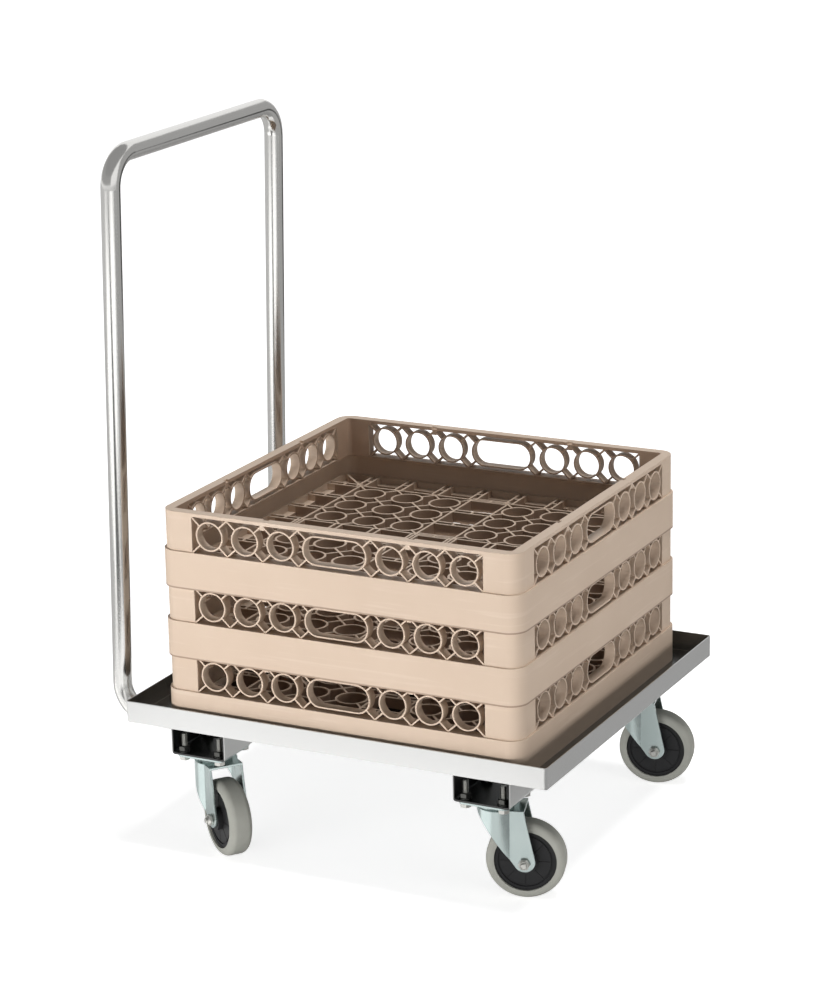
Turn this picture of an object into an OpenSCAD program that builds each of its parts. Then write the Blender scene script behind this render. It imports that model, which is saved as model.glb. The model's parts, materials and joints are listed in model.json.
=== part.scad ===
// Glass rack dolly: a stainless tray on four swivel casters, with a push bar and three stacked racks.
// Millimetres. +Z is up, the floor is at z = 0, and +X is the way the dolly is pushed.

/* [Tray] */
// Room that the tray's length has beyond the racks, both ends together
tray_room_l = 90; // [60:1:260]
// Room that the tray's width has beyond the racks, both sides together
tray_room_w = 35; // [25:1:140]
// Height of the upturned rim
tray_rim_h = 28; // [18:1:60]
// Thickness of the tray's sheet
tray_sheet = 1.5; // [1:0.1:3]
// Outside radius of the tray's upright corners
tray_corner_r = 4; // [3.5:0.5:12]

/* [Push bar] */
// Rise of the push bar's top above the tray's underside, along its legs
bar_rise = 732; // [480:1:980]
// Distance from the tray's side to the centre line of the leg on that side
bar_inset = 59.5; // [52:0.5:70]
// Outside diameter of the tube
bar_d = 25; // [20:0.5:30]
// Wall of the tube
bar_wall = 1.5; // [1:0.1:3]
// Centre line radius of every bend
bar_bend_r = 41; // [30:1:70]
// Length of straight tube between the tray's end and the lower bends
bar_set_out = 0.5; // [0.5:0.5:30]
// Lean of the whole push bar towards the tray, in degrees
bar_lean = 1.5; // [0:0.1:3]
// Gap between the tube's open end and the inner leg of the bracket
bar_end_gap = 6; // [2:1:20]

/* [Brackets] */
// Distance from the tray's end to each swivel axis
caster_inset_l = 95; // [70:1:130]
// Distance from the tray's side to each swivel axis
caster_inset_w = 56.5; // [48:0.5:66]
// Width of a bracket, along the length of the tray
bracket_w = 78; // [74:1:100]
// Length of a bracket, across the tray
bracket_l = 80; // [78:1:100]
// Height of a bracket, from the caster plate to the tray
bracket_h = 41; // [36:1:70]
// Thickness of the bracket's sheet
bracket_sheet = 2.5; // [2:0.1:4]
// Outside radius of the bracket's two folds
bracket_fold_r = 4.5; // [4.2:0.1:7]

/* [Casters] */
// Height of a caster, from the floor to the top of its plate
caster_h = 131; // [128:1:150]
// Distance from the swivel axis to the axle, seen from above
caster_trail = 38; // [30:1:42]
// Diameter of the wheel over its tyre
wheel_d = 100; // [80:1:102]
// Width of the tyre
tyre_w = 30; // [22:1:34]
// Radius of the tyre's shoulders
tyre_shoulder_r = 8; // [4:0.5:10]
// Thickness of the tyre round the hub
tyre_t = 10.75; // [9:0.25:14]
// Width of the hub's disc
hub_w = 24; // [16:1:26]
// Diameter of the hub's middle boss
hub_boss_d = 30; // [22:1:40]
// Width of the hub's rim outside the ring groove
hub_rim_w = 4.75; // [3:0.25:8]
// Width of the ring groove
hub_groove_w = 2.4; // [1:0.1:4]
// Depth of the ring groove
hub_groove_depth = 1.6; // [0.5:0.1:4]
// Number of facets on the hub's faces
hub_facets = 8; // [4:1:16]
// Width of the line between two facets
hub_line_w = 1.2; // [0.6:0.1:2]
// Depth of the line between two facets
hub_line_depth = 0.5; // [0.2:0.1:1.5]
// Length of the caster plate, across the tray
plate_l = 77; // [76:1:90]
// Width of the caster plate
plate_w = 67; // [66:1:73]
// Thickness of the caster plate
plate_t = 3; // [2:0.1:5]
// Radius of the caster plate's corners
plate_corner_r = 7; // [2:0.5:10]
// Distance between bolt holes along the plate's length
hole_l = 61.5; // [56:0.5:64]
// Distance between bolt holes along the plate's width
hole_w = 51.5; // [50:0.5:52]
// Inside width of the fork
fork_inside = 40; // [38:1:46]
// Thickness of the fork's pressed sheet
fork_sheet = 3; // [2:0.1:4]
// Diameter of the fork's round head
fork_head_d = 55.5; // [52:0.5:60]
// Distance of the fork's round head in front of the swivel axis
fork_head_x = 4.5; // [0:0.5:6]
// Reach of the fork's shoulder in front of the swivel axis
fork_reach = 38; // [30:1:42]
// Radius of the fork's ends, round the axle
fork_end_r = 13.5; // [11:0.5:16]
// Height of the middle of the fork's rounded ends above the axle
fork_end_rise = 2.5; // [0:0.5:4]
// Depth of the fork's shoulder below the top of the plate
fork_drop = 12; // [10.5:0.5:14]
// Diameter of the bearing balls
ball_d = 6; // [4:0.5:6]
// Diameter of the circle that the balls run on
ball_circle_d = 35; // [30:0.5:37]
// Number of balls
ball_count = 15; // [8:1:16]
// Diameter of the kingpin
kingpin_d = 12; // [8:0.5:14]
// Diameter of the sleeve that the wheel turns on
sleeve_d = 12; // [10.5:0.5:16]
// Swivel of the front right caster at rest, in degrees
swivel_front_right = 17.6; // [-60:0.1:60]
// Swivel of the front left caster at rest, in degrees
swivel_front_left = 13.3; // [-60:0.1:60]
// Swivel of the rear right caster at rest, in degrees
swivel_rear_right = -37.2; // [-60:0.1:60]
// Swivel of the rear left caster at rest, in degrees
swivel_rear_left = 37.2; // [-60:0.1:60]

/* [Fasteners] */
// Diameter of every bolt
bolt_d = 8; // [6:0.5:8]
// Width across the flats of every hexagon
hex_flats = 13; // [10:0.5:13]
// Height of a bolt's head
head_h = 5.3; // [4:0.1:5.5]
// Height of a nut
nut_h = 6.5; // [5:0.1:8]
// Diameter of a washer
washer_d = 16; // [13:0.5:16]
// Thickness of a washer
washer_t = 1.6; // [1:0.1:2.5]
// Length of a plate bolt under its head
plate_bolt_l = 30; // [20:1:38]
// Length of the axle bolt's end that stands out of its nut
axle_stub = 2.5; // [1:0.1:6]

/* [Racks] */
// Outside width of a rack over its skirt
rack_w = 500; // [480:1:510]
// Height of a rack
rack_h = 100; // [90:1:140]
// Depth to which one rack sits in the next
rack_nest = 7.4; // [4:0.1:12]
// Height of the solid skirt
rack_skirt_h = 49; // [30:1:55]
// Wall of the skirt
rack_wall = 2.2; // [1.6:0.1:3]
// Gap between a rim and the skirt that sits over it
rack_fit = 0.6; // [0.4:0.1:2]
// Outside radius of the skirt's corners
rack_corner_r = 23; // [18:1:40]
// Depth of the window band, from its outer to its inner face
band_t = 14; // [10:0.5:17]
// Height of the rim above the windows
rim_h = 4.5; // [3:0.1:10]
// Width of the solid corner beside a window
post_w = 48.8; // [42:0.1:56]
// Gap between two rings of a window
ring_gap = 11.8; // [8:0.1:18]
// Thickness of the windows' rings and ribs
rib_t = 2; // [1.4:0.1:3]
// Length of the notches in the rim's inner edge
rim_notch_l = 8; // [4:0.5:14]
// Width of the notches, from the rim's inner face
rim_notch_w = 4; // [2:0.5:7]
// Depth of the notches
rim_notch_depth = 3; // [1:0.5:4]
// Height of the small block under each notch
block_h = 6; // [3:0.5:10]
// Width of the small block under each notch
block_w = 6; // [3:0.5:10]
// Height of the rack's floor above its lower edge, to the top of its ribs
floor_top = 16.5; // [14:0.5:24]
// Height of the floor's lower edge, inside the rim of the rack below
floor_low = 2; // [0.5:0.5:3.5]
// Thickness of the floor's rings and ribs
floor_rib_t = 2.8; // [1.6:0.1:4]
// Distance from the rack's outside to the outer border of the floor's ring fields
floor_margin = 54.75; // [48:0.25:64]
// Distance from the rack's middle to the inner border of the floor's ring fields
floor_cross = 25.75; // [16:0.25:32]
// Gap between two rings of the floor
floor_ring_gap = 12.5; // [6:0.5:20]
// Gap between the two ribs of a pair
rib_pair_gap = 7; // [4:0.5:14]
// Offset of the racks from the tray's middle, along the length
rack_dx = 7; // [-20:1:20]
// Offset of the racks from the tray's middle, across the width
rack_dy = -7; // [-8:1:8]

/* [Hidden] */
$fn = 48;
// Radial clearance of a running fit
running = 0.05;
// Clearance of a hole round the bolt that passes through it
bolt_clear = 0.4;
// Clearance between pieces that swivel past each other
swivel_gap = 0.5;
// Overlap that makes cuts clean
eps = 0.5;

// Length of a rack's side in rings: the hand-hold takes the place of two
rings_per_side = 8;
// Rings along each side of a floor field
rings_per_field = 3;
// Wall outside a ball groove
race_wall = 2.5;
// Rise of the ball circle above the middle of the gap between plate and fork
race_rise = 1;
// Overhang of the kingpin's head
pivot_lip = 4;

tray_l = rack_w + tray_room_l;
tray_w = rack_w + tray_room_w;
caster_x = tray_l / 2 - caster_inset_l;
caster_y = tray_w / 2 - caster_inset_w;
bar_span = tray_w - 2 * bar_inset;
tray_z = caster_h + bracket_h;
rim_top = tray_z + tray_rim_h;
corners = ["front_right", "front_left", "rear_right", "rear_left"];
swivels = [swivel_front_right, swivel_front_left, swivel_rear_right, swivel_rear_left];
caster_pieces = [
    "bracket", "top_plate", "plate_bolts", "plate_nuts", "swivel_balls", "kingpin",
    "fork", "axle_bolt", "axle_nut", "axle_sleeve", "wheel_hub", "tyre"
];
rack_levels = ["bottom", "middle", "top"];
rack_pieces = ["rack_frame", "rack_grilles", "rack_hand_holds"];

// The push bar in its own frame: the tray's end is at x = 0 and its underside at z = 0
foot_z = bar_bend_r - bar_d / 2;
leg_x = -(bar_set_out + bar_bend_r);
leg_l = bar_rise - bar_d / 2 - bar_bend_r - foot_z;
run_l = bar_set_out + tray_l / 2 - (caster_x - bracket_w / 2 + bracket_sheet + bar_end_gap);
bar_back_x = -bar_set_out * cos(bar_lean) + foot_z * sin(bar_lean) - bar_bend_r - bar_d / 2;
// Drop of the leaning lower run at the bracket that it enters
notch_drop = (tray_l / 2 - caster_x - bracket_w / 2 + bracket_sheet) * sin(bar_lean);
// The middle of the object's length is at x = 0
shift_x = -bar_back_x / 2;

axle_z = wheel_d / 2;
hub_d = wheel_d - 2 * tyre_t;
hub_groove_d = hub_d - 2 * hub_rim_w;
hub_boss_w = fork_inside - 2 * swivel_gap;
fork_w = fork_inside + 2 * fork_sheet;
shoulder_z = caster_h - fork_drop;
plate_under_z = caster_h - plate_t;
race_z = (shoulder_z + plate_under_z) / 2 + race_rise;
race_lip = ball_d / 6;
seat_d = ball_circle_d + ball_d + 2 * race_wall;
pivot_head_h = 4;
pivot_head_d = kingpin_d + 2 * pivot_lip;
pivot_flare_h = 2;

band_w = rack_w - 2 * rack_wall - 2 * rack_fit;
band_corner_r = rack_corner_r - rack_wall - rack_fit;
sill_t = 2.2;
window_l = rack_w - 2 * post_w;
ring_pitch = window_l / rings_per_side;
ring_d = ring_pitch - ring_gap;
panel_x = window_l / 4 + ring_pitch / 2;
hand_hold_l = 2 * ring_pitch - ring_gap;
notch_x = 2 * ring_pitch;
window_z = rack_skirt_h;
window_h = rack_h - rim_h - window_z;
rack_pitch = rack_h - rack_nest;
rack_z = tray_z + tray_sheet;
field_lo = floor_cross;
field_hi = rack_w / 2 - floor_margin;
floor_pitch = (field_hi - field_lo) / rings_per_field;
floor_ring_d = floor_pitch - floor_ring_gap;
floor_first = field_lo + floor_pitch / 2;
floor_edge = rack_w / 2 - rack_wall;

// A square with round corners, centred
module round_square(size, r) {
    square([size[0] - 2 * r, size[1]], center = true);
    square([size[0], size[1] - 2 * r], center = true);
    for (x = [-1, 1], y = [-1, 1])
        translate([x * (size[0] / 2 - r), y * (size[1] / 2 - r)]) circle(r);
}

// A bar of width t from point a to point b
module rib(a, b, t) {
    d = b - a;
    translate(a) rotate(atan2(d[1], d[0])) translate([0, -t / 2]) square([norm(d), t]);
}

module hexagon_prism(flats, h) {
    cylinder(d = flats / cos(30), h = h, $fn = 6);
}

// The tangent point on a circle, seen from point p, on the given side
function tangent_point(p, c, r, side) =
    let (d = p - c, a = atan2(d[1], d[0]), half = acos(r / norm(d)))
    c + r * [cos(a + side * half), sin(a + side * half)];

module at_tray() {
    translate([shift_x, 0, 0]) children();
}

// The place of corner i's swivel axis on the floor
module at_corner(i) {
    at_tray()
        translate([i < 2 ? caster_x : -caster_x, i % 2 == 0 ? -caster_y : caster_y, 0]) children();
}

// The same, turned with the caster
module at_caster(i) {
    at_corner(i) rotate(swivels[i]) children();
}

module at_plate_holes() {
    for (x = [-1, 1], y = [-1, 1]) translate([x * hole_w / 2, y * hole_l / 2, 0]) children();
}

// The axle's line, with local +Z along the caster's -Y
module at_axle() {
    translate([caster_trail, 0, axle_z]) rotate([90, 0, 0]) children();
}

module tray() {
    color("gainsboro") at_tray() translate([0, 0, tray_z]) difference() {
        linear_extrude(tray_rim_h) round_square([tray_l, tray_w], tray_corner_r);
        translate([0, 0, tray_sheet]) linear_extrude(tray_rim_h)
            round_square([tray_l - 2 * tray_sheet, tray_w - 2 * tray_sheet], tray_corner_r - tray_sheet);
    }
}

module tube_section() {
    difference() {
        circle(d = bar_d);
        circle(d = bar_d - 2 * bar_wall);
    }
}

module tube(l) {
    linear_extrude(l) tube_section();
}

// A bend that starts along +Z at the origin and turns towards +X
module tube_bend(angle) {
    translate([bar_bend_r, 0, 0]) rotate([90, 0, 0]) rotate([0, 0, 180 - angle])
        rotate_extrude(angle = angle) translate([bar_bend_r, 0]) tube_section();
}

// Two legs, each with a bend at its foot and its head, joined by the grip
module push_bar() {
    color("silver") at_tray() translate([-tray_l / 2, 0, tray_z]) rotate([0, bar_lean, 0]) {
        for (side = [-1, 1]) translate([0, side * bar_span / 2, 0]) {
            translate([-bar_set_out, 0, -bar_d / 2]) rotate([0, 90, 0]) tube(run_l);
            translate([leg_x, 0, foot_z]) {
                rotate([180, 0, 0]) tube_bend(90);
                tube(leg_l);
                translate([0, 0, leg_l]) rotate(side * -90) tube_bend(90);
            }
        }
        translate([leg_x, bar_bend_r - bar_span / 2, foot_z + leg_l + bar_bend_r]) rotate([-90, 0, 0])
            tube(bar_span - 2 * bar_bend_r);
    }
}

// A channel that is folded from sheet, open at both ends and on top; at the rear a notch lets the tube in
module bracket(i) {
    color("darkgray") at_corner(i) translate([0, 0, caster_h]) difference() {
        translate([0, bracket_l / 2, 0]) rotate([90, 0, 0]) linear_extrude(bracket_l) difference() {
            union() {
                translate([-bracket_w / 2, bracket_fold_r]) square([bracket_w, bracket_h - bracket_fold_r]);
                translate([bracket_fold_r - bracket_w / 2, 0])
                    square([bracket_w - 2 * bracket_fold_r, bracket_h]);
                for (x = [-1, 1]) translate([x * (bracket_w / 2 - bracket_fold_r), bracket_fold_r])
                    circle(bracket_fold_r);
            }
            translate([0, bracket_sheet]) {
                inner_w = bracket_w - 2 * bracket_sheet;
                inner_r = bracket_fold_r - bracket_sheet;
                translate([-inner_w / 2, inner_r]) square([inner_w, bracket_h]);
                translate([inner_r - inner_w / 2, 0]) square([inner_w - 2 * inner_r, bracket_h]);
                for (x = [-1, 1]) translate([x * (inner_w / 2 - inner_r), inner_r]) circle(inner_r);
            }
        }
        translate([0, 0, -eps]) at_plate_holes()
            cylinder(d = bolt_d + bolt_clear, h = bracket_sheet + 2 * eps);
        if (i >= 2) bar_notch(i % 2 == 0 ? -1 : 1);
    }
}

// The room for the tube in the bracket's outer leg, open towards the tray
module bar_notch(side) {
    notch_w = bar_d + bolt_clear;
    translate([-bracket_w / 2 - eps, side * (bar_span / 2 - caster_y), bracket_h - bar_d / 2 - notch_drop])
        rotate([90, 0, 90]) linear_extrude(bracket_sheet + 2 * eps) {
            circle(d = notch_w);
            translate([-notch_w / 2, 0]) square([notch_w, bar_d / 2 + notch_drop + eps]);
        }
}

// A ring groove in which the balls run
module ball_groove() {
    translate([0, 0, race_z]) rotate_extrude() translate([ball_circle_d / 2, 0])
        circle(d = ball_d + 2 * running);
}

module top_plate(i) {
    color("lightsteelblue") at_corner(i) difference() {
        union() {
            translate([0, 0, plate_under_z]) linear_extrude(plate_t)
                round_square([plate_w, plate_l], plate_corner_r);
            translate([0, 0, race_z + race_lip])
                cylinder(d = seat_d, h = plate_under_z - race_z - race_lip + eps);
        }
        translate([0, 0, plate_under_z - eps]) at_plate_holes()
            cylinder(d = bolt_d + bolt_clear, h = plate_t + 2 * eps);
        kingpin_shape();
        ball_groove();
    }
}

module plate_bolts(i) {
    color("silver") at_corner(i) at_plate_holes() {
        translate([0, 0, plate_under_z - head_h]) hexagon_prism(hex_flats, head_h);
        translate([0, 0, plate_under_z]) cylinder(d = bolt_d, h = plate_bolt_l);
    }
}

// Each nut and its washer are one solid, drawn up against the bracket
module plate_nuts(i) {
    color("silver") at_corner(i) translate([0, 0, caster_h + bracket_sheet]) at_plate_holes() difference() {
        union() {
            cylinder(d = washer_d, h = washer_t);
            translate([0, 0, washer_t]) hexagon_prism(hex_flats, nut_h);
        }
        translate([0, 0, -eps]) cylinder(d = bolt_d, h = washer_t + nut_h + 2 * eps);
    }
}

module swivel_balls(i) {
    color("gray") at_caster(i) translate([0, 0, race_z])
        for (k = [0 : ball_count - 1]) rotate(k * 360 / ball_count)
            translate([ball_circle_d / 2, 0, 0]) sphere(d = ball_d);
}

// A rivet with a countersunk upper end, level with the plate
module kingpin_shape() {
    head_z = shoulder_z - fork_sheet - swivel_gap - pivot_head_h;
    translate([0, 0, head_z]) {
        cylinder(d = pivot_head_d, h = pivot_head_h);
        cylinder(d = kingpin_d, h = caster_h - head_z);
    }
    translate([0, 0, caster_h - pivot_flare_h])
        cylinder(d1 = kingpin_d, d2 = kingpin_d + 2 * pivot_flare_h, h = pivot_flare_h);
}

module kingpin(i) {
    color("silver") at_corner(i) kingpin_shape();
}

// The fork seen from above: straight sides that fold into a wider round head
module fork_plan(grow) {
    translate([fork_head_x, 0]) circle(d = fork_head_d - 2 * fork_sheet + 2 * grow);
    translate([0, -fork_inside / 2 - grow])
        square([caster_trail + fork_end_r, fork_inside + 2 * grow]);
}

// The fork seen from the side: a wide shoulder that narrows to the axle
module fork_side() {
    end = [caster_trail, axle_z + fork_end_rise];
    nose = fork_head_x - fork_head_d / 2;
    back = [nose, shoulder_z - fork_sheet];
    front = [fork_reach, shoulder_z - fork_sheet];
    polygon([
        [nose, shoulder_z], back, tangent_point(back, end, fork_end_r, 1), end,
        tangent_point(front, end, fork_end_r, -1), front, [fork_reach, shoulder_z]
    ]);
    translate(end) circle(fork_end_r);
}

module fork(i) {
    color("lightsteelblue") at_caster(i) difference() {
        union() {
            intersection() {
                difference() {
                    linear_extrude(shoulder_z) fork_plan(fork_sheet);
                    translate([0, 0, -eps]) linear_extrude(shoulder_z - fork_sheet + eps) fork_plan(0);
                }
                translate([0, fork_w, 0]) rotate([90, 0, 0]) linear_extrude(2 * fork_w) fork_side();
            }
            translate([0, 0, shoulder_z - fork_sheet / 2])
                cylinder(d = seat_d, h = race_z - race_lip - shoulder_z + fork_sheet / 2);
        }
        translate([0, 0, shoulder_z - fork_sheet - eps])
            cylinder(d = kingpin_d + 2 * running, h = fork_drop + fork_sheet);
        ball_groove();
        at_axle() translate([0, 0, -fork_w]) cylinder(d = bolt_d + bolt_clear, h = 2 * fork_w);
    }
}

module axle_bolt(i) {
    color("silver") at_caster(i) at_axle() {
        translate([0, 0, -fork_w / 2 - head_h]) hexagon_prism(hex_flats, head_h);
        translate([0, 0, -fork_w / 2]) cylinder(d = bolt_d, h = fork_w + nut_h + axle_stub);
    }
}

module axle_nut(i) {
    color("silver") at_caster(i) at_axle() translate([0, 0, fork_w / 2]) difference() {
        hexagon_prism(hex_flats, nut_h);
        translate([0, 0, -eps]) cylinder(d = bolt_d, h = nut_h + 2 * eps);
    }
}

// The tube that keeps the fork's sides apart and carries the wheel
module axle_sleeve(i) {
    color("dimgray") at_caster(i) at_axle() translate([0, 0, -fork_inside / 2]) difference() {
        cylinder(d = sleeve_d, h = fork_inside);
        translate([0, 0, -eps]) cylinder(d = bolt_d, h = fork_inside + 2 * eps);
    }
}

// The lines between the facets of a hub's face, from the boss to the ring groove
module hub_lines() {
    for (k = [0 : hub_facets - 1]) rotate(k * 360 / hub_facets)
        translate([hub_boss_d / 2, -hub_line_w / 2, 0])
            cube([hub_groove_d / 2 - hub_groove_w / 2 - hub_boss_d / 2, hub_line_w, hub_line_depth + eps]);
}

module wheel_hub(i) {
    color("#2b2b2e") at_caster(i) at_axle() difference() {
        union() {
            translate([0, 0, -hub_w / 2]) cylinder(d = hub_d, h = hub_w);
            translate([0, 0, -hub_boss_w / 2]) cylinder(d = hub_boss_d, h = hub_boss_w);
        }
        translate([0, 0, -hub_boss_w]) cylinder(d = sleeve_d + 2 * running, h = 2 * hub_boss_w);
        for (z = [-hub_w / 2 - eps, hub_w / 2 - hub_groove_depth]) translate([0, 0, z]) difference() {
            cylinder(d = hub_groove_d, h = hub_groove_depth + eps);
            translate([0, 0, -eps])
                cylinder(d = hub_groove_d - 2 * hub_groove_w, h = hub_groove_depth + 3 * eps);
        }
        for (side = [0, 180]) rotate([side, 0, 0]) translate([0, 0, hub_w / 2 - hub_line_depth]) hub_lines();
    }
}

// A moulded tyre with round shoulders
module tyre(i) {
    shoulder = tyre_shoulder_r;
    color("#8f8f88") at_caster(i) at_axle() rotate_extrude() difference() {
        union() {
            translate([0, -tyre_w / 2]) square([wheel_d / 2 - shoulder, tyre_w]);
            translate([0, shoulder - tyre_w / 2]) square([wheel_d / 2, tyre_w - 2 * shoulder]);
            for (y = [-1, 1])
                translate([wheel_d / 2 - shoulder, y * (tyre_w / 2 - shoulder)]) circle(shoulder);
        }
        translate([-eps, -tyre_w]) square([hub_d / 2 + eps, 2 * tyre_w]);
    }
}

// One cell of a window: a ring held by four slanting ribs
module ring_cell(cell, d) {
    difference() {
        for (x = [-1, 1], y = [-1, 1]) rib([0, 0], [x * cell[0] / 2, y * cell[1] / 2], rib_t);
        circle(d = d - rib_t);
    }
    difference() {
        circle(d = d);
        circle(d = d - 2 * rib_t);
    }
}

// The frame of the hand-hold, held by four slanting ribs
module hand_hold_cell() {
    r = ring_d / 2;
    straight = hand_hold_l - ring_d;
    cell = [2 * ring_pitch, window_h];
    difference() {
        union() {
            round_square([hand_hold_l, ring_d], r - eps);
            for (x = [-1, 1], y = [-1, 1])
                rib([x * straight / 2, 0], [x * cell[0] / 2, y * cell[1] / 2], rib_t);
        }
        round_square([hand_hold_l - 2 * rib_t, ring_d - 2 * rib_t], r - rib_t - eps);
    }
}

// Three rings in a row, trimmed to their panel of the window, with a small block beside the inner one
module ring_panel(side) {
    intersection() {
        union() {
            for (k = [-1 : 1]) translate([k * ring_pitch, 0]) ring_cell([ring_pitch, window_h], ring_d);
            translate([-(side * ring_pitch + block_w) / 2, window_h / 2 - block_h])
                square([block_w, block_h + eps]);
        }
        square([3 * ring_pitch, window_h], center = true);
    }
}

// The hand-hold, trimmed to its panel of the window
module hand_hold_panel() {
    intersection() {
        hand_hold_cell();
        square([2 * ring_pitch, window_h], center = true);
    }
}

// The middles of the nine cells in one quarter of the floor
module at_floor_cells() {
    for (x = [0 : rings_per_field - 1], y = [0 : rings_per_field - 1])
        translate([floor_first + x * floor_pitch, floor_first + y * floor_pitch]) children();
}

// One quarter of the floor: nine rings on slanting ribs that cross in the cells' corners, in a square border
module floor_field() {
    span = rings_per_field * floor_pitch;
    difference() {
        intersection() {
            translate([floor_first + floor_pitch, floor_first + floor_pitch])
                for (k = [1 - rings_per_field : rings_per_field - 1], flip = [0, 1]) mirror([flip, 0])
                    rib([-span, k * floor_pitch - span], [span, k * floor_pitch + span], floor_rib_t);
            translate([field_lo + floor_rib_t / 2, field_lo + floor_rib_t / 2]) square(span);
        }
        at_floor_cells() circle(d = floor_ring_d - floor_rib_t);
    }
    at_floor_cells() difference() {
        circle(d = floor_ring_d);
        circle(d = floor_ring_d - 2 * floor_rib_t);
    }
    difference() {
        translate([field_lo, field_lo]) square(span + floor_rib_t);
        translate([field_lo + floor_rib_t, field_lo + floor_rib_t]) square(span - floor_rib_t);
    }
}

// The strip between a field and its neighbour or the wall, crossed by pairs of ribs that a short rib links
module floor_strip(from, to, link) {
    for (k = [0 : rings_per_field]) {
        middle = field_lo + k * floor_pitch + floor_rib_t / 2;
        apart = (rib_pair_gap + floor_rib_t) / 2;
        for (pair = [-apart, apart]) rib([from, middle + pair], [to, middle + pair], floor_rib_t);
        rib([link, middle - apart], [link, middle + apart], floor_rib_t);
    }
}

// All ribs of the floor, seen from above
module floor_pattern() {
    intersection() {
        union() {
            for (turn = [0 : 3]) rotate(90 * turn) {
                floor_field();
                for (flip = [0, 1]) mirror([flip, -flip]) {
                    floor_strip(0, field_lo + floor_rib_t, 0);
                    floor_strip(field_hi, floor_edge, (field_hi + floor_edge) / 2);
                }
                for (line = [field_lo, field_hi])
                    rib([-field_lo, line + floor_rib_t / 2], [field_lo, line + floor_rib_t / 2], floor_rib_t);
                rib([field_hi, field_hi], [floor_edge, floor_edge], floor_rib_t);
            }
            wall_ring(2 * floor_edge, rack_corner_r - rack_wall, floor_rib_t);
        }
        round_square([2 * floor_edge, 2 * floor_edge], rack_corner_r - rack_wall);
    }
}

// The floor, cut back at its edge so that it stands on the rim of the rack below
module rack_floor() {
    difference() {
        translate([0, 0, floor_low]) linear_extrude(floor_top - floor_low) floor_pattern();
        linear_extrude(rack_nest) wall_ring(rack_w, rack_corner_r, rack_wall + 2 * rack_fit + band_t);
    }
}

module wall_ring(w, r, t) {
    difference() {
        round_square([w, w], r);
        round_square([w - 2 * t, w - 2 * t], r - t);
    }
}

// The place of the rack at a level of the stack
module at_rack(level) {
    color("#d9c4b0") at_tray() translate([rack_dx, rack_dy, rack_z + level * rack_pitch]) children();
}

// A panel that stands in the window of each side, as deep as the window band
module in_each_window() {
    for (turn = [0 : 3]) rotate(90 * turn)
        translate([0, band_t - band_w / 2, window_z + window_h / 2]) rotate([90, 0, 0])
            linear_extrude(band_t) children();
}

// The solid part of a rack: skirt, sill, corner posts and rim
module rack_frame(level) {
    at_rack(level) {
        linear_extrude(rack_skirt_h) wall_ring(rack_w, rack_corner_r, rack_wall);
        translate([0, 0, rack_skirt_h - sill_t]) linear_extrude(sill_t)
            wall_ring(rack_w, rack_corner_r, rack_wall + rack_fit + band_t);
        difference() {
            translate([0, 0, rack_skirt_h]) linear_extrude(rack_h - rack_skirt_h)
                wall_ring(band_w, band_corner_r, band_t);
            for (turn = [0 : 1]) rotate(90 * turn) translate([-window_l / 2, -rack_w, window_z])
                cube([window_l, 2 * rack_w, window_h]);
            for (turn = [0 : 3], side = [-1, 1]) rotate(90 * turn)
                translate([side * notch_x, band_t - band_w / 2, rack_h - rim_notch_depth])
                    linear_extrude(rim_notch_depth + eps)
                        square([rim_notch_l, 2 * rim_notch_w], center = true);
        }
    }
}

// The open part of a rack: the floor and the ring panels in its sides
module rack_grilles(level) {
    at_rack(level) {
        rack_floor();
        for (side = [-1, 1]) in_each_window() translate([side * panel_x, 0]) ring_panel(side);
    }
}

module rack_hand_holds(level) {
    at_rack(level) in_each_window() hand_hold_panel();
}

tray();
push_bar();
for (level = [0 : 2]) {
    rack_frame(level);
    rack_grilles(level);
    rack_hand_holds(level);
}
for (i = [0 : 3]) {
    bracket(i);
    top_plate(i);
    plate_bolts(i);
    plate_nuts(i);
    swivel_balls(i);
    kingpin(i);
    fork(i);
    axle_bolt(i);
    axle_nut(i);
    axle_sleeve(i);
    wheel_hub(i);
    tyre(i);
}
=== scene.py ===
# %% [markdown]
# # A glass rack dolly
# The dolly is a folded steel tray on four swivel casters, with a bent push bar at one end and
# three plastic racks stacked on the tray. Its pieces come from the CAD model at their real size.
# This lesson gives them their finish, adds the small things that a close look shows, and sets up
# the studio: camera, floor, lamps, reflections and world.

import json
import math

import bmesh
import bpy
from mathutils import Matrix, Vector

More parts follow.
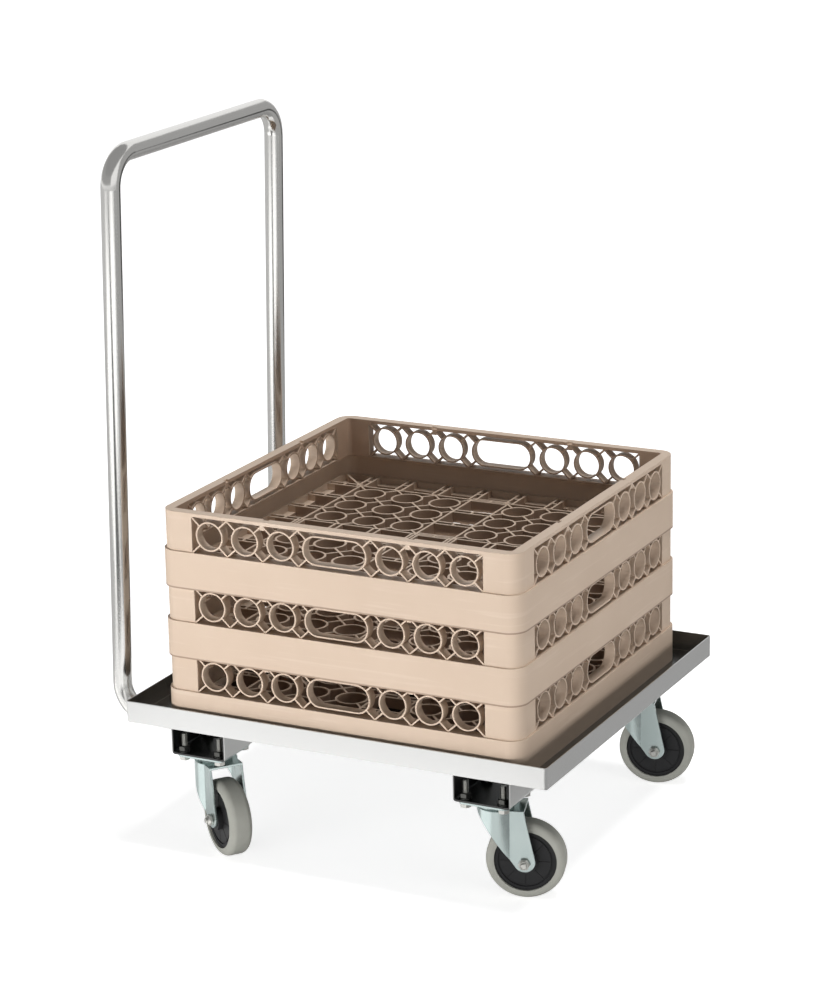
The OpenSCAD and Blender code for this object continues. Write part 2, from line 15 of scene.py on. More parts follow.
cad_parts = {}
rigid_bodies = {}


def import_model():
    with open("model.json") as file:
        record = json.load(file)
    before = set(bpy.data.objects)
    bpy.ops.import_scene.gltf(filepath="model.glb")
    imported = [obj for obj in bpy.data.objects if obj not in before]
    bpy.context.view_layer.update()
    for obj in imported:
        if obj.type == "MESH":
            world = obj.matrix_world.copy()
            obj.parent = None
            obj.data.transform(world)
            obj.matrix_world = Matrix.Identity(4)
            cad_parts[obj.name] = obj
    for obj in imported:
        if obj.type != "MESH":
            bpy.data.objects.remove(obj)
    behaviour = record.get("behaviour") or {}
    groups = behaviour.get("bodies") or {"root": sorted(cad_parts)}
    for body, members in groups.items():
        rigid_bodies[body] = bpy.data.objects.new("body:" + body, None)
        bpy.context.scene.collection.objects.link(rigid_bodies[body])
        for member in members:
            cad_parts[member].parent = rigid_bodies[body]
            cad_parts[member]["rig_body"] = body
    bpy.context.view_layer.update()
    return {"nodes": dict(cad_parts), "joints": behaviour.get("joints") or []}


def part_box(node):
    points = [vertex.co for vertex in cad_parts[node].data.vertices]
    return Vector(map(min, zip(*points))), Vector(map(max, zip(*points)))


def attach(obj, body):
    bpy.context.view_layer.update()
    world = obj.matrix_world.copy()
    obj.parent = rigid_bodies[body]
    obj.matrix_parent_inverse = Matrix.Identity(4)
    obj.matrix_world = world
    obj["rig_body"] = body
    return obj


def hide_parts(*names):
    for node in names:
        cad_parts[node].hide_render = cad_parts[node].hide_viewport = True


for leftover in list(bpy.data.objects):
    bpy.data.objects.remove(leftover)
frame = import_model()
nodes = frame["nodes"]
CORNERS = ("front_right", "front_left", "rear_right", "rear_left")
LEVELS = ("bottom", "middle", "top")

# %% [markdown]
# ## Camera
# The photograph was taken from the front right, at a standing person's eye height and almost four
# metres away, with a long lens. The eye's place and its three angles were found by matching
# corners of the tray and the racks. Building the camera's matrix from its right, up and forward
# directions keeps the small roll, which a tracking constraint would lose.

# %% Camera
IMAGE_H = 1000
FOCAL_PX = 3175.3
SENSOR_H = 36.0
EYE = Vector((1.7989, -3.5027, 1.5948))
YAW, PITCH, ROLL = (math.radians(a) for a in (27.128, -16.538, -1.243))

forward = Vector((-math.sin(YAW) * math.cos(PITCH), math.cos(YAW) * math.cos(PITCH),
                  math.sin(PITCH)))
level = Vector((math.cos(YAW), math.sin(YAW), 0))
upright = level.cross(forward)
right = math.cos(ROLL) * level + math.sin(ROLL) * upright
up = math.cos(ROLL) * upright - math.sin(ROLL) * level

lens = bpy.data.cameras.new("camera")
lens.sensor_fit = "VERTICAL"
lens.sensor_height = SENSOR_H
lens.lens = SENSOR_H * FOCAL_PX / IMAGE_H
camera = bpy.data.objects.new("camera", lens)
turn = Matrix((right, up, -forward)).transposed().to_4x4()
camera.matrix_world = Matrix.Translation(EYE) @ turn
bpy.context.scene.collection.objects.link(camera)
bpy.context.scene.camera = camera
print("camera with a lens of", round(lens.lens, 1), "mm")

# %% [markdown]
# ## Writing shaders as sums
# A finish is a small graph of nodes. Adding every Math node by hand hides the idea, so `Value`
# wraps one socket and lets Python's own signs add the nodes, and `Graph.node` makes any other
# node in one line. A `Finish` is the graph of one material.

# %% Values and graphs
class Value:
    """One socket of a graph; sums and products of values add Math nodes."""

    def __init__(self, graph, socket):
        self.graph, self.socket = graph, socket

    def __add__(self, other):
        return self.graph.math("ADD", self, other)

    def __sub__(self, other):
        return self.graph.math("SUBTRACT", self, other)

    def __rsub__(self, other):
        return self.graph.math("SUBTRACT", other, self)

    def __mul__(self, other):
        return self.graph.math("MULTIPLY", self, other)

    __radd__, __rmul__ = __add__, __mul__

    def __abs__(self):
        return self.graph.math("ABSOLUTE", self)

    def band(self, low, high):
        """0 below low, 1 above high and smooth between them."""
        slots = {"Value": self, "From Min": low, "From Max": high}
        return self.graph.node("ShaderNodeMapRange", {"interpolation_type": "SMOOTHSTEP"}, slots)


class Graph:
    """A tree of shader nodes."""

    def __init__(self, tree):
        self.tree = tree

    def node(self, kind, settings=None, slots=None, out=0):
        """Adds a node with its settings and inputs, and gives one of its outputs."""
        made = self.tree.nodes.new(kind)
        for key, value in (settings or {}).items():
            setattr(made, key, value)
        for key, value in (slots or {}).items():
            self.plug(made.inputs[key], value)
        return Value(self, made.outputs[out])

    def plug(self, slot, value):
        """Links a value to an input, or writes a constant on it."""
        if isinstance(value, Value):
            self.tree.links.new(value.socket, slot)
        else:
            slot.default_value = value

    def math(self, operation, *terms):
        """A Math node of those terms."""
        return self.node("ShaderNodeMath", {"operation": operation}, dict(enumerate(terms)))

    def ray(self, kind):
        """1 for a ray of that kind, such as Camera or Glossy, and 0 for any other."""
        return self.node("ShaderNodeLightPath", out=f"Is {kind} Ray")


# %% Finishes
MIX_FACTOR, MIX_LOW, MIX_HIGH, MIX_RESULT = 0, 6, 7, 2
BEVEL_SAMPLES = 4


class Finish(Graph):
    """The graph of one material, round its Principled shader."""

    def __init__(self, name, **constants):
        self.material = bpy.data.materials.new(name)
        self.material.use_nodes = True
        super().__init__(self.material.node_tree)
        self.shader = self.tree.nodes["Principled BSDF"]
        self.set(**constants)

    def set(self, **values):
        """Fills inputs of the shader; an underscore stands for the space in a name."""
        for key, value in values.items():
            self.plug(self.shader.inputs[key.replace("_", " ")], value)

    def place(self, scale=(1, 1, 1)):
        """Object coordinates, stretched along the axes."""
        spot = self.node("ShaderNodeTexCoord", out="Object")
        return self.node("ShaderNodeMapping", slots={"Vector": spot, "Scale": scale})

    def along(self, axis):
        """The place along one axis, in metres."""
        return self.node("ShaderNodeSeparateXYZ", slots={0: self.place()}, out=axis)

    def depths(self, low, high):
        """How far a spot lies behind the nearer face of a box, along X and along Y."""
        middle, half = (low + high) / 2, (high - low) / 2
        return [half[k] - abs(self.along(k) - middle[k]) for k in (0, 1)]

    def noise(self, scale, detail, stretch=(1, 1, 1)):
        """Clouds between 0 and 1, finer with a larger scale."""
        slots = {"Vector": self.place(stretch), "Scale": scale, "Detail": detail}
        return self.node("ShaderNodeTexNoise", slots=slots)

    def mix(self, factor, low, high):
        """A colour between low and high."""
        slots = {MIX_FACTOR: factor, MIX_LOW: low, MIX_HIGH: high}
        return self.node("ShaderNodeMix", {"data_type": "RGBA"}, slots, out=MIX_RESULT)

    def relief(self, height, depth, edge=0.0):
        """Bumps of that depth in metres, over edges that are rounded by that radius."""
        slots = {"Height": height, "Distance": depth, "Strength": 1.0}
        if edge:
            rounding = {"samples": BEVEL_SAMPLES}
            slots["Normal"] = self.node("ShaderNodeBevel", rounding, {"Radius": edge})
        self.set(Normal=self.node("ShaderNodeBump", slots=slots))


# %% Tones and dressing
SCREEN_GAMMA = 2.2


def tone(red, green, blue):
    """A colour of the screen as the linear numbers that shaders use."""
    return tuple((c / 255) ** SCREEN_GAMMA for c in (red, green, blue)) + (1.0,)


def dress(finish, *names):
    """Puts a finish on CAD nodes."""
    for name in names:
        slots = nodes[name].data.materials
        slots.clear()
        slots.append(finish.material)


def each_corner(piece):
    """The names of a piece that every caster has."""
    return [f"{piece}_{corner}" for corner in CORNERS]


print("a screen grey of 128 is", round(tone(128, 128, 128)[0], 3), "in a shader")

# %% [markdown]
# ## Rack plastic
# The racks are moulded in a beige polypropylene with a fine matt grain from the mould. A slow
# noise lets the pigment drift a little, a fine one gives the grain, and a stretched one adds the
# pale rubbing marks that a skirt gets from dishwasher rails. Two more tones follow the shape, and
# distances from the outer faces mark them off. Both are painted shade: a deeper tone inside the
# walls, from which only the lit tops of the floor's ribs are spared, and a dark line of painted
# shadow where a rack's lower edge meets the rack below. The edges of a moulding are never quite
# sharp, so the shader rounds them by about half a millimetre.

# %% Distances on a rack
WALL_DEPTH, RACK_CORNER, RACK_PITCH, FLOOR_TOP = 0.0168, 0.023, 0.0926, 0.0165
WALL_FADE = (WALL_DEPTH - 0.0005, WALL_DEPTH - 0.0001)
RIB_FADE = (0.0003, 0.0012)
SEAM_H = 0.0028
SKIN_FADE = (0.0008, 0.0016)

beige = Finish("rack_plastic", Specular_IOR_Level=0.4)
low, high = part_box("bottom_rack_frame")
aside, across = beige.depths(low, high)
rise = beige.along(2) - low.z
height = beige.math("MODULO", rise, RACK_PITCH)

# Painted shade inside the walls, kept off the lit tops of the floor's ribs.
painted_shade_within = beige.math("MINIMUM", aside, across).band(*WALL_FADE)
off_ribs = abs(height - FLOOR_TOP).band(*RIB_FADE)
round_x, round_y = (beige.math("MAXIMUM", RACK_CORNER - reach, 0) for reach in (aside, across))
skin = RACK_CORNER - beige.math("SQRT", round_x * round_x + round_y * round_y)
# A line of painted shadow in the joint under a rack's lower edge.
lower_edge = (1 - height.band(SEAM_H / 2, SEAM_H)) * rise.band(SEAM_H, 2 * SEAM_H)
seam_shadow = lower_edge * (1 - skin.band(*SKIN_FADE))
print("rack walls are", round(WALL_DEPTH * 1000, 1), "mm deep for the shader")

# %% Rack plastic
PIGMENT_DARK, PIGMENT_LIGHT = tone(198, 176, 156), tone(209, 188, 168)
RUBBED_TONE, RUBBED_SHARE, RUBBED_FADE = tone(219, 201, 184), 0.35, (0.56, 0.72)
# A dark tone of painted shadow where the racks meet.
SEAM_SHADOW_TONE, SEAM_SHADOW_SHARE = tone(138, 114, 97), 0.75
# A deeper tone of painted shade for the inside of the walls.
PAINTED_SHADE_TONE = tone(166, 140, 120)

drift = beige.noise(scale=9, detail=3)
grain = beige.noise(scale=1500, detail=2)
streaks = beige.noise(scale=1, detail=5, stretch=(9, 9, 160))
rubbed = streaks.band(*RUBBED_FADE)
colour = beige.mix(drift, PIGMENT_DARK, PIGMENT_LIGHT)
colour = beige.mix(rubbed * RUBBED_SHARE, colour, RUBBED_TONE)
colour = beige.mix(seam_shadow * SEAM_SHADOW_SHARE, colour, SEAM_SHADOW_TONE)
colour = beige.mix(painted_shade_within * off_ribs, colour, PAINTED_SHADE_TONE)
beige.set(Base_Color=colour, Roughness=0.42 + 0.14 * grain + 0.1 * rubbed)
beige.relief(grain, depth=0.00006, edge=0.0006)
for rack in LEVELS:
    dress(beige, *(f"{rack}_rack_{part}" for part in ("frame", "grilles", "hand_holds")))
print("rack plastic on", len(LEVELS), "racks")

# %% [markdown]
# ## Brushed steel
# Tray, brackets and push bar are stainless steel with a satin brushing. Each has fine scratches
# that run one way: noise that is squeezed across the scratches and drawn out along them. The
# scratches change the roughness and the tone only a little, and the large shapes in the
# reflections do the rest. The inner faces of the tray and of the brackets get a darker tone,
# which is painted shade; a distance from the outer faces marks it off.

# %% Brushed steel
def brushed(name, dark, light, stretch, rough, depth, edge):
    """A steel with fine scratches, and the colour that they give it."""
    steel = Finish(name, Metallic=1.0)
    scratch = steel.noise(scale=1, detail=6, stretch=stretch)
    smudge = steel.noise(scale=11, detail=3)
    smooth, coarse = rough
    colour = steel.mix(0.6 * scratch + 0.4 * smudge, dark, light)
    roughness = smooth + (coarse - smooth) * scratch + 0.05 * smudge
    steel.set(Base_Color=colour, Roughness=roughness)
    steel.relief(scratch, depth, edge)
    return steel, colour


SHEET_SCRATCHES, TUBE_SCRATCHES = (20, 20, 1200), (40, 40, 1600)
tray_steel, tray_colour = brushed(
    "tray_stainless", tone(213, 213, 212), tone(221, 221, 219), SHEET_SCRATCHES,
    rough=(0.21, 0.25), depth=0.000001, edge=0.0012)
bar_steel, _ = brushed(
    "satin_stainless", tone(216, 215, 212), tone(230, 229, 226), TUBE_SCRATCHES,
    rough=(0.12, 0.17), depth=0.000002, edge=0.0003)
bracket_steel, bracket_colour = brushed(
    "bracket_steel", tone(184, 184, 183), tone(200, 200, 198), SHEET_SCRATCHES,
    rough=(0.26, 0.34), depth=0.000004, edge=0.0006)
dress(tray_steel, "tray")
dress(bar_steel, "push_bar")
dress(bracket_steel, *each_corner("bracket"))
print("brushed steel on tray, push bar and brackets")

# %% Painted shade inside
SHEET = 0.0015
SHALLOW, DEEP = 0.6 * SHEET, 0.8 * SHEET
# Both inside tones are painted shade on the inner faces of the steel.
TRAY_SHADE_INSIDE, BRACKET_SHADE_INSIDE = tone(152, 154, 154), tone(74, 74, 74)

low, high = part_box("tray")
tray_middle = (low + high) / 2
inside = tray_steel.math("MINIMUM", *tray_steel.depths(low, high)).band(SHALLOW, DEEP)
tray_steel.set(Base_Color=tray_steel.mix(inside, tray_colour, TRAY_SHADE_INSIDE))

low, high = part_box("bracket_front_right")
bracket_x, half_width = (low.x + high.x) / 2 - tray_middle.x, (high.x - low.x) / 2
from_middle = abs(bracket_steel.along(0) - tray_middle.x)
outside = abs(from_middle - bracket_x).band(half_width - DEEP, half_width - SHALLOW)
bracket_steel.set(Base_Color=bracket_steel.mix(outside, BRACKET_SHADE_INSIDE, bracket_colour))
# The painted shade starts this far behind the outer faces.
print("mill scale behind", SHEET * 1000, "mm of sheet")

# %% [markdown]
# ## Zinc and bright steel
# Forks, plates and fasteners are zinc plated: a pale, slightly blue metal with cloudy patches
# where the plating is thicker. A coarse noise makes the clouds and a fine one the crystals. The
# plate nuts, deep in the brackets, get a dark grey instead, which is painted shade. The balls and
# the sleeves inside are plain steel, and the same function makes them, with greys.

# %% Zinc plating
def plated(name, dark, light, rough, edge):
    """A plated metal, whose clouds are also a little rougher."""
    zinc = Finish(name, Metallic=1.0)
    clouds = zinc.noise(scale=60, detail=4)
    crystals = zinc.noise(scale=700, detail=2)
    zinc.set(
        Base_Color=zinc.mix(0.75 * clouds + 0.25 * crystals, dark, light),
        Roughness=rough + 0.16 * clouds + 0.06 * crystals,
    )
    zinc.relief(crystals, depth=0.00003, edge=edge)
    return zinc


fork_zinc = plated("zinc_plate", tone(164, 177, 175), tone(190, 201, 199),
                   rough=0.12, edge=0.0014)
bolt_zinc = plated("bolt_zinc", tone(160, 160, 156), tone(215, 214, 208),
                   rough=0.2, edge=0.0005)
# The plate nuts' dark tone is painted shade from the dark bracket round them.
shaded_nut_zinc = plated("shaded_nut_zinc", tone(66, 66, 64), tone(104, 104, 101),
                  rough=0.22, edge=0.0005)
ball_steel = plated("bearing_steel", tone(170, 170, 170), tone(200, 200, 200),
                    rough=0.08, edge=0.0)
sleeve_steel = plated("sleeve_steel", tone(120, 120, 120), tone(165, 165, 165),
                      rough=0.25, edge=0.0003)
dress(fork_zinc, *each_corner("fork"), *each_corner("top_plate"))
for fastener in ("plate_bolts", "plate_nuts", "axle_bolt", "axle_nut", "kingpin"):
    dress(bolt_zinc, *each_corner(fastener))
dress(ball_steel, *each_corner("swivel_balls"))
dress(sleeve_steel, *each_corner("axle_sleeve"))
print("zinc and steel on", len(CORNERS), "casters")

# %% [markdown]
# ## Wheels
# A black plastic hub carries a grey rubber tyre. Rubber scatters light and shows no clear
# reflections, so it stays rough. The hub is a little smoother, with a fine grain from its mould.

# %% Wheel finishes
black = Finish("hub_plastic", Specular_IOR_Level=0.3)
speck = black.noise(scale=900, detail=2)
black.set(
    Base_Color=black.mix(speck, tone(27, 27, 28), tone(41, 41, 42)),
    Roughness=0.4 + 0.2 * speck,
)
black.relief(speck, depth=0.00004, edge=0.0006)
rubber = Finish("tyre_rubber", Specular_IOR_Level=0.3)
bloom = rubber.noise(scale=45, detail=4)
pores = rubber.noise(scale=1300, detail=2)
rubber.set(
    Base_Color=rubber.mix(0.7 * bloom + 0.3 * pores, tone(140, 140, 133), tone(168, 168, 160)),
    Roughness=0.62 + 0.2 * pores,
)
rubber.relief(pores, depth=0.0001)
dress(black, *each_corner("wheel_hub"))
dress(rubber, *each_corner("tyre"))
print("hub and tyre on", len(CORNERS), "wheels")

# %% [markdown]
# ## Bolts and nuts
# The casters hang on hexagon bolts whose threaded ends stand up inside the brackets, and a
# locking nut closes each axle. In a workshop a bolt head is a turned blank with a chamfer, on
# which six flats are milled: that gives the chamfer its curved edges. The code goes the same way.
# A profile is spun round the Z axis, then six planes cut it. The thread is one tooth that spins
# upwards along a helix, cut square at both ends.

# %% Mesh helpers
def add_object(name, data):
    """A new object in the scene."""
    made = bpy.data.objects.new(name, data)
    bpy.context.scene.collection.objects.link(made)
    return made


def mesh_of(name, bm):
    """A mesh from a bmesh, which is used up."""
    mesh = bpy.data.meshes.new(name)
    bm.to_mesh(mesh)
    bm.free()
    return mesh


def only(kind, geometry):
    """The vertices or the edges among mixed geometry."""
    return [item for item in geometry if isinstance(item, kind)]


def gather(shapes):
    """One bmesh from several, each with the matrix of its place."""
    whole = bmesh.new()
    for shape, place in shapes:
        part = shape.copy()
        bmesh.ops.transform(part, matrix=place, verts=part.verts)
        spare = mesh_of("spare", part)
        whole.from_mesh(spare)
        bpy.data.meshes.remove(spare)
    return whole


# %% Turning and milling
MERGE = 1e-7
TURN_STEPS = 48
CENTRE, UPWARDS = (0, 0, 0), (0, 0, 1)


def profile(bm, points, closed):
    """A row of points, given as radius and height, that edges join."""
    row = [bm.verts.new((radius, 0, height)) for radius, height in points]
    ends = row[1:] + row[:1] if closed else row[1:]
    return row + [bm.edges.new(pair) for pair in zip(row, ends)]


def turned(points, closed=False):
    """A profile spun all the way round the Z axis."""
    bm = bmesh.new()
    bmesh.ops.spin(bm, geom=profile(bm, points, closed), cent=CENTRE, axis=UPWARDS,
                   angle=math.tau, steps=TURN_STEPS, use_merge=True)
    bmesh.ops.remove_doubles(bm, verts=bm.verts, dist=MERGE)
    bmesh.ops.recalc_face_normals(bm, faces=bm.faces)
    return bm


def cut(bm, spot, normal):
    """Takes away what lies beyond a plane and closes the gap."""
    everything = bm.verts[:] + bm.edges[:] + bm.faces[:]
    made = bmesh.ops.bisect_plane(bm, geom=everything, dist=MERGE, plane_co=spot,
                                  plane_no=normal, clear_outer=True)
    bmesh.ops.edgeloop_fill(bm, edges=only(bmesh.types.BMEdge, made["geom_cut"]))


def mill_hexagon(bm, flats):
    """Six flats, with corners towards plus and minus X."""
    for k in range(6):
        angle = math.radians(30 + 60 * k)
        normal = Vector((math.cos(angle), math.sin(angle), 0))
        cut(bm, normal * flats / 2, normal)
    bmesh.ops.recalc_face_normals(bm, faces=bm.faces)
    return bm


# %% Thread
BOLT_R, THREAD_PITCH = 0.004, 0.00125
THREAD_DEPTH = TIP_H = 0.6 * THREAD_PITCH
THREAD_STEPS = 16
THREAD_MERGE = THREAD_PITCH / 50
TIP_SHARE = 0.86


def threaded_rod(length):
    """A thread from height 0 up, whose end has a short cone."""
    bm = bmesh.new()
    root = BOLT_R - THREAD_DEPTH
    turns = math.ceil((length - TIP_H) / THREAD_PITCH) + 1
    tooth = [(root, -THREAD_PITCH), (BOLT_R, -THREAD_PITCH / 2), (root, 0)]
    bmesh.ops.spin(bm, geom=profile(bm, tooth, closed=False), cent=CENTRE, axis=UPWARDS,
                   dvec=(0, 0, THREAD_PITCH / THREAD_STEPS), angle=turns * math.tau,
                   steps=turns * THREAD_STEPS)
    bmesh.ops.remove_doubles(bm, verts=bm.verts, dist=THREAD_MERGE)
    cut(bm, CENTRE, (0, 0, -1))
    cut(bm, (0, 0, length - TIP_H), UPWARDS)
    end = max(bm.faces, key=lambda face: face.calc_center_median().z)
    cone = only(bmesh.types.BMVert, bmesh.ops.extrude_face_region(bm, geom=[end])["geom"])
    bmesh.ops.scale(bm, vec=(TIP_SHARE, TIP_SHARE, 1), verts=cone)
    bmesh.ops.translate(bm, vec=(0, 0, TIP_H), verts=cone)
    bmesh.ops.delete(bm, geom=[end], context="FACES_ONLY")
    bmesh.ops.recalc_face_normals(bm, faces=bm.faces)
    return bm


# %% Bolts and nuts
FLATS, HEAD_H, NUT_H = 0.013, 0.0053, 0.0065
WASHER_R, WASHER_T = 0.008, 0.0016
WASHER_RIM = 0.25 * WASHER_T
BORE_R = BOLT_R + 0.0001
CORNER_R = FLATS / math.sqrt(3)
BLANK_R = CORNER_R + MERGE
CROWN_R, CHAMFER = 0.0061, 0.0009
DECK_H = 0.7 * NUT_H
COLLAR = [(0.0058, DECK_H), (0.0057, 0.9 * NUT_H), (0.0053, NUT_H), (0.0044, NUT_H),
          (BORE_R, 0.94 * NUT_H)]


def hexagon_bolt(length):
    """A bolt with its head's outer face at height 0."""
    blank = [(0, 0), (CROWN_R, 0), (BLANK_R, CHAMFER), (BLANK_R, HEAD_H), (0, HEAD_H)]
    rod = threaded_rod(length - HEAD_H + THREAD_PITCH)
    rod_place = Matrix.Translation((0, 0, HEAD_H - THREAD_PITCH))
    return gather([(mill_hexagon(turned(blank), FLATS), Matrix()), (rod, rod_place)])


def hexagon_nut(height, top):
    """A nut with both edges chamfered, whose profile goes on from its upper face to its bore."""
    blank = [(BORE_R, 0), (CROWN_R, 0), (BLANK_R, CHAMFER),
             (BLANK_R, height - CHAMFER), (CROWN_R, height), *top]
    return mill_hexagon(turned(blank, closed=True), FLATS)


def washer():
    """A flat ring with bevelled outer edges."""
    inner_r = WASHER_R - WASHER_RIM
    return turned([(BORE_R, 0), (inner_r, 0), (WASHER_R, WASHER_RIM),
                   (WASHER_R, WASHER_T - WASHER_RIM), (inner_r, WASHER_T), (BORE_R, WASHER_T)],
                  closed=True)


on_washer = Matrix.Translation((0, 0, WASHER_T))
plain_nut = gather([(washer(), Matrix()), (hexagon_nut(NUT_H, [(BORE_R, NUT_H)]), on_washer)])
locking_nut = hexagon_nut(DECK_H, COLLAR)
print("nuts of", len(plain_nut.faces), "and", len(locking_nut.faces), "faces")

# %% Places of the fasteners
def at_holes(node, reach_x, reach_y):
    """The feet of a caster's four fasteners, where each reaches that far along X and Y."""
    low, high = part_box(node)
    return [Matrix.Translation((x, y, low.z)) for x in (low.x + reach_x, high.x - reach_x)
            for y in (low.y + reach_y, high.y - reach_y)]


def on_axle(corner, node):
    """The foot of an axle's fastener, whose Z axis runs against the joint's, and its length."""
    joint = next(j for j in frame["joints"] if j["name"] == f"roll_{corner}")
    hub, axis = Vector(joint["pos_m"]), -Vector(joint["axis"])
    along = [(v.co - hub).dot(axis) for v in nodes[node].data.vertices]
    turn = Matrix((Vector(UPWARDS).cross(axis), UPWARDS, axis)).transposed().to_4x4()
    return Matrix.Translation(hub + axis * min(along)) @ turn, max(along) - min(along)


# %% Hang them on the casters
SHARP = math.radians(32)


def stand_in(name, node, shape, places, finish):
    """Copies of a shape that take the place of a CAD node and move as it does."""
    bm = gather([(shape, place) for place in places])
    for face in bm.faces:
        face.smooth = True
    for edge in bm.edges:
        edge.smooth = edge.calc_face_angle(0) < SHARP
    piece = add_object(name, mesh_of(name, bm))
    piece.data.materials.append(finish.material)
    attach(piece, nodes[node]["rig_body"])
    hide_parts(node)


for corner in CORNERS:
    bolts, nuts = f"plate_bolts_{corner}", f"plate_nuts_{corner}"
    axle, axle_nut = f"axle_bolt_{corner}", f"axle_nut_{corner}"
    low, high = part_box(bolts)
    stand_in(f"hexagon_bolts_{corner}", bolts, hexagon_bolt(high.z - low.z),
             at_holes(bolts, CORNER_R, FLATS / 2), bolt_zinc)
    stand_in(f"hexagon_nuts_{corner}", nuts, plain_nut,
             at_holes(nuts, WASHER_R, WASHER_R), shaded_nut_zinc)
    place, length = on_axle(corner, axle)
    stand_in(f"hexagon_axle_{corner}", axle, hexagon_bolt(length), [place], bolt_zinc)
    place, _ = on_axle(corner, axle_nut)
    stand_in(f"locking_nut_{corner}", axle_nut, locking_nut, [place], bolt_zinc)
print("bolts and nuts on", len(CORNERS), "casters")

# %% [markdown]
# ## Floor
# The photograph has a pure white surround. A large disc of white paper carries the object's
# shadow. The camera sees a little extra glow on it, weaker near the object and full further out,
# so that the floor meets the white world without a horizon. Metal sees a share of that glow too.

# %% Floor
FLOOR_R = 14.0
GLOW_NEAR, GLOW_MIRRORED = 0.72, 0.4
GLOW_FADE = (0.5, 2.2)
BLACK, WHITE = (0, 0, 0, 1), (1, 1, 1, 1)

bm = bmesh.new()
bmesh.ops.create_circle(bm, cap_ends=True, segments=96, radius=FLOOR_R)
floor = add_object("floor", mesh_of("floor", bm))
paper = Finish("floor_paper", Roughness=0.9, Base_Color=(0.9, 0.9, 0.9, 1), Emission_Strength=1.0)
away = paper.node("ShaderNodeVectorMath", {"operation": "LENGTH"}, {0: paper.place()}, out="Value")
seen = GLOW_NEAR + (1 - GLOW_NEAR) * away.band(*GLOW_FADE)
glow = paper.ray("Camera") * seen + paper.ray("Glossy") * GLOW_MIRRORED
paper.set(Emission_Color=paper.mix(glow, BLACK, WHITE))
floor.data.materials.append(paper.material)
print("floor of", 2 * FLOOR_R, "m")

# %% [markdown]
# ## Lamps
# A low broad lamp in front lights the faces that the camera sees best, a weaker one on the right
# gives the shaded side, and one overhead lights the rims and the racks' floors. The lamps don't
# show in reflections: there the cards of the next step take over, so that the light on the
# plastic and the bands on the metal can be set apart from each other.

# %% Lamps
def lamp(name, spot, aim, size, watts):
    """A rectangle of light at a spot that points to an aim."""
    light = bpy.data.lights.new(name, "AREA")
    light.shape = "RECTANGLE"
    light.size, light.size_y = size
    light.energy = watts
    made = add_object(name, light)
    made.location = spot
    made.rotation_mode = "QUATERNION"
    made.rotation_quaternion = (Vector(aim) - Vector(spot)).to_track_quat("-Z", "Y")
    made.visible_camera = made.visible_glossy = False


lamp("front_lamp", (-0.9, -3.0, 0.22), (0, 0, 0.22), (2.6, 0.4), 79)
lamp("side_lamp", (3.2, -0.6, 0.4), (0, 0, 0.3), (1.8, 0.7), 31)
lamp("top_lamp", (0.7, 0.1, 3.4), (0, 0, 0.4), (1.2, 1.2), 64)

# %% [markdown]
# ## Reflection cards
# Metal looks like what stands round it, so a photographer puts up cards. These are grey, bright
# and dark sheets that glow by themselves and that only reflections see: walls round the set, a
# sail overhead, and mats that lie just above the floor. Together they draw the light and dark
# bands on the tube, the tray and the forks, and they add no light to the plastic beyond its
# faint gloss.

# %% Reflection cards
MAT_Z = 0.002


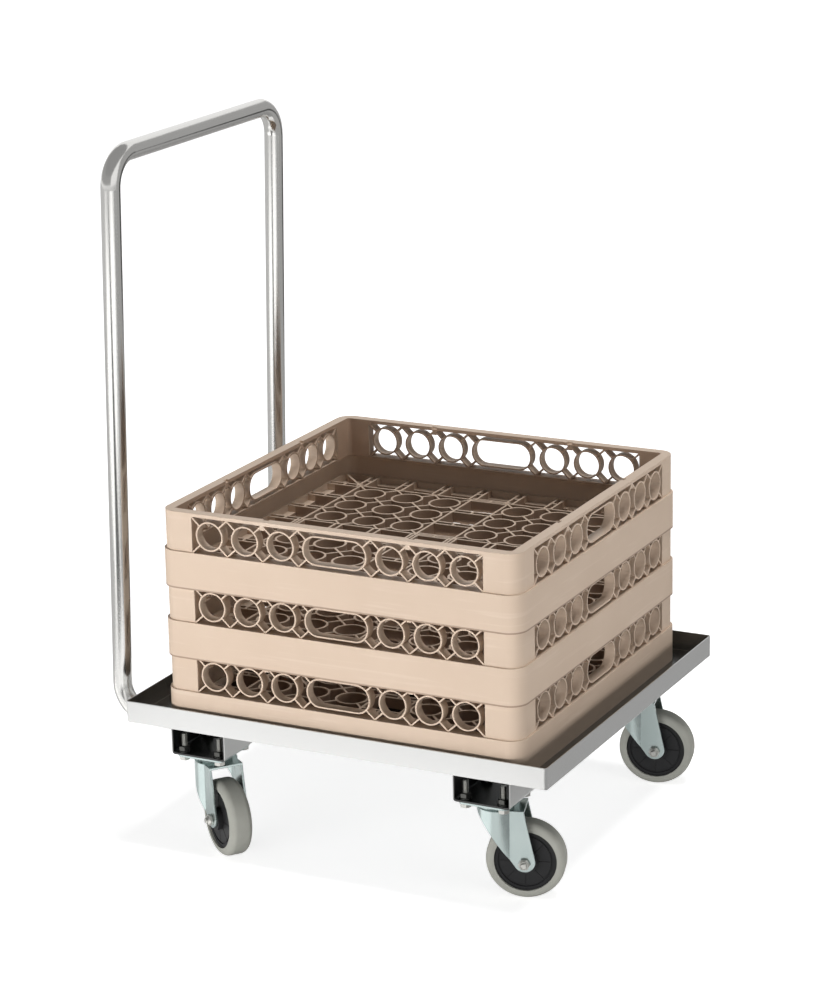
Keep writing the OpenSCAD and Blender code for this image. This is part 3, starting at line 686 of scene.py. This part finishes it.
def card(name, spot, aim, size, grey):
    """A glowing sheet at a spot that faces an aim."""
    bm = bmesh.new()
    bmesh.ops.create_grid(bm, x_segments=1, y_segments=1, size=0.5)
    turn = (Vector(aim) - Vector(spot)).to_track_quat("Z", "Y").to_matrix().to_4x4()
    stretch = Matrix.Diagonal((size[0], size[1], 1, 1))
    place = Matrix.Translation(spot) @ turn @ stretch
    bmesh.ops.transform(bm, matrix=place, verts=bm.verts)
    made = add_object(name, mesh_of(name, bm))
    felt = Finish(name, Base_Color=BLACK, Specular_IOR_Level=0.0, Emission_Strength=1.0)
    felt.set(Emission_Color=(grey, grey, grey, 1))
    made.data.materials.append(felt.material)
    made.visible_camera = made.visible_diffuse = made.visible_shadow = False


def mat(name, x, y, size, grey):
    """A card that lies face up."""
    card(name, (x, y, MAT_Z), (x, y, 1), size, grey)


card("grey_wall", (2.1, 2.8, 1.4), (0, 0, 0.9), (6.4, 3.6), 0.42)
mat("right_mat", 2.44, 1.6, (4.12, 6.4), 0.42)
mat("back_mat", -0.2, 2.9, (1.2, 4.4), 0.33)
mat("left_mat", -2.1, 0.8, (3.2, 5.4), 0.58)
mat("front_mat", -0.1, -2.25, (0.8, 2.7), 0.12)
mat("bright_left", -1.6, -2.4, (2.1, 2.4), 1.7)
mat("bright_right", 1.4, -2.3, (2.1, 2.6), 1.7)
mat("near_mat", -0.37, -0.86, (1.06, 0.64), 1.25)
mat("nose_mat", -0.37, -0.4, (1.06, 0.28), 1.6)
card("grey_sail", (-0.6, -1.5, 3.0), (-0.6, -1.5, 0), (6.4, 6.2), 0.34)
card("front_wall", (-0.6, -4.6, 2.0), (-0.6, 0, 2.0), (6.4, 2.0), 0.4)
card("left_wall", (-3.8, -1.5, 2.0), (0, -1.5, 2.0), (6.2, 2.0), 0.4)
card("back_wall", (-0.6, 2.4, 0.22), (-0.6, 0, 0.22), (4.0, 0.44), 0.06)
cards = [o for o in bpy.data.objects if o.visible_glossy and not o.visible_diffuse]
print(len(cards), "cards that only reflections see")

# %% [markdown]
# ## World
# The world is the white behind everything. The camera and the reflections see it at full
# strength, and as light it counts only a little, so that the racks keep their shade inside.

# %% World
AMBIENT = 0.14

world = bpy.data.worlds.new("studio")
world.use_nodes = True
bpy.context.scene.world = world
sky = Graph(world.node_tree)
shown = sky.math("MAXIMUM", sky.ray("Camera"), sky.ray("Glossy"))
clear = sky.math("MAXIMUM", shown, sky.ray("Transmission"))
background = sky.tree.nodes["Background"].inputs
sky.plug(background["Color"], WHITE)
sky.plug(background["Strength"],
         sky.node("ShaderNodeMapRange", slots={"Value": clear, "To Min": AMBIENT}))
bpy.context.scene.view_settings.view_transform = "Standard"
print("world of", AMBIENT, "as light")
